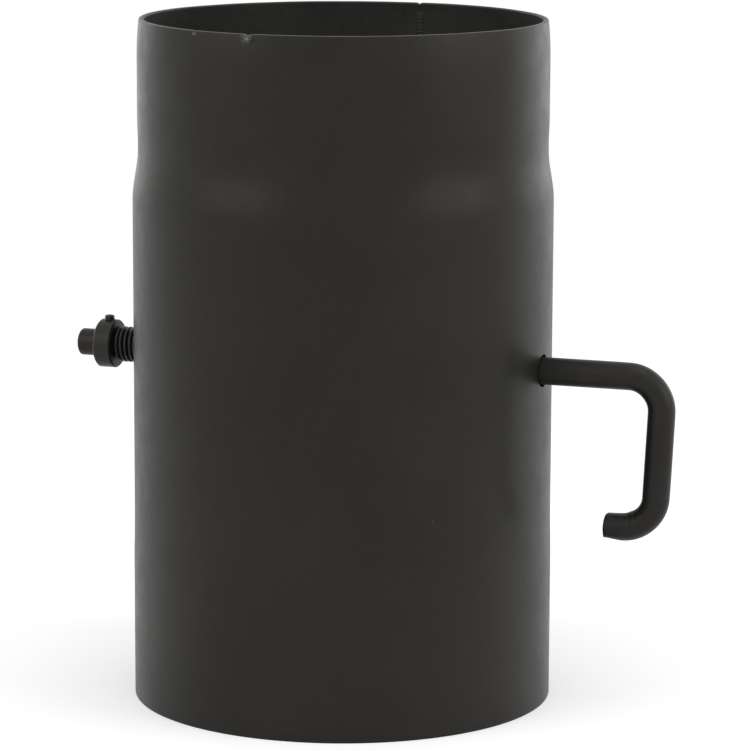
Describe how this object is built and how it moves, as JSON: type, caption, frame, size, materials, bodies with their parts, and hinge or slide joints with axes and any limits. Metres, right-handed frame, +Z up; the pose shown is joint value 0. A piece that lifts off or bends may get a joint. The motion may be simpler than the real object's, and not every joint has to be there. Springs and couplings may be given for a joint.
{
  "type": "flue pipe damper",
  "caption": "Short black steel flue pipe with a swaged spigot, a butterfly blade on a cross shaft, a bent rod handle, and a spring and set collar on the far end of the shaft.",
  "frame": {"origin": "centre of the pipe's lower end, the mouth of the socket", "axes": "+Z up along the pipe towards the spigot, +X along the shaft towards the handle, +Y towards the blade's side of the shaft"},
  "size_m": [0.2305, 0.154, 0.25],
  "materials": {
    "pipe_paint": "matt black heat-resistant paint with a fine orange peel",
    "shaft_paint": "matt black heat-resistant paint on round bar",
    "blade_paint": "matt black heat-resistant paint",
    "collar_paint": "satin black paint",
    "spring_steel": "thin black paint on spring wire",
    "black_oxide": "black oxide",
    "zinc_plate": "bright zinc plate"
  },
  "bodies": {
    "pipe": {"pipe_body": "pipe_paint"},
    "damper": {"shaft_handle": "shaft_paint", "damper_blade": "blade_paint", "blade_bolts": "zinc_plate", "blade_lock_washers": "zinc_plate", "blade_nuts": "zinc_plate", "thrust_bush": "zinc_plate", "wall_washer": "collar_paint", "tension_spring": "spring_steel", "set_collar": "collar_paint", "set_screw": "black_oxide"}
  },
  "joints": [
    {"name": "damper_turn", "type": "hinge", "parent": "pipe", "child": "damper", "pos_m": [0, 0, 0.125], "axis": [1, 0, 0], "continuous": true}
  ]
}
